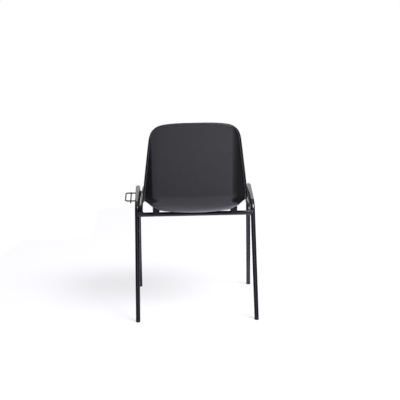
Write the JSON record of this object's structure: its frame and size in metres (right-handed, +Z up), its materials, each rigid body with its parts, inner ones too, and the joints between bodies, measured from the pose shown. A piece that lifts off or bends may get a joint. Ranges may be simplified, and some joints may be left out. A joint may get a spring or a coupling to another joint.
{
  "type": "stacking choir chair",
  "caption": "Stacking choir chair: one-piece moulded bucket shell on a bent round-tube frame, with a wire row link on one side rail.",
  "frame": {"origin": "on the floor, midway between the four feet", "axes": "+Z up, +Y the way the sitter faces, +X to the sitter's right"},
  "size_m": [0.5321, 0.515, 0.8144],
  "materials": {
    "frame": "satin powder coat",
    "shell": "fine moulded texture with a soft sheen",
    "fittings": "matt",
    "fasteners": "zinc plated"
  },
  "bodies": {
    "root": {"seat_shell": "shell", "left_side_frame": "frame", "right_side_frame": "frame", "rear_cross_bar": "frame", "front_cross_bar": "frame", "left_inner_rail": "frame", "right_inner_rail": "frame", "rear_left_mount_block": "fittings", "rear_right_mount_block": "fittings", "front_left_mount_block": "fittings", "front_right_mount_block": "fittings", "seat_screws": "fasteners", "seat_washers": "fasteners", "rear_left_foot": "fittings", "rear_right_foot": "fittings", "front_left_foot": "fittings", "front_right_foot": "fittings", "link_loop": "frame", "link_middle_bar": "frame"}
  },
  "joints": []
}
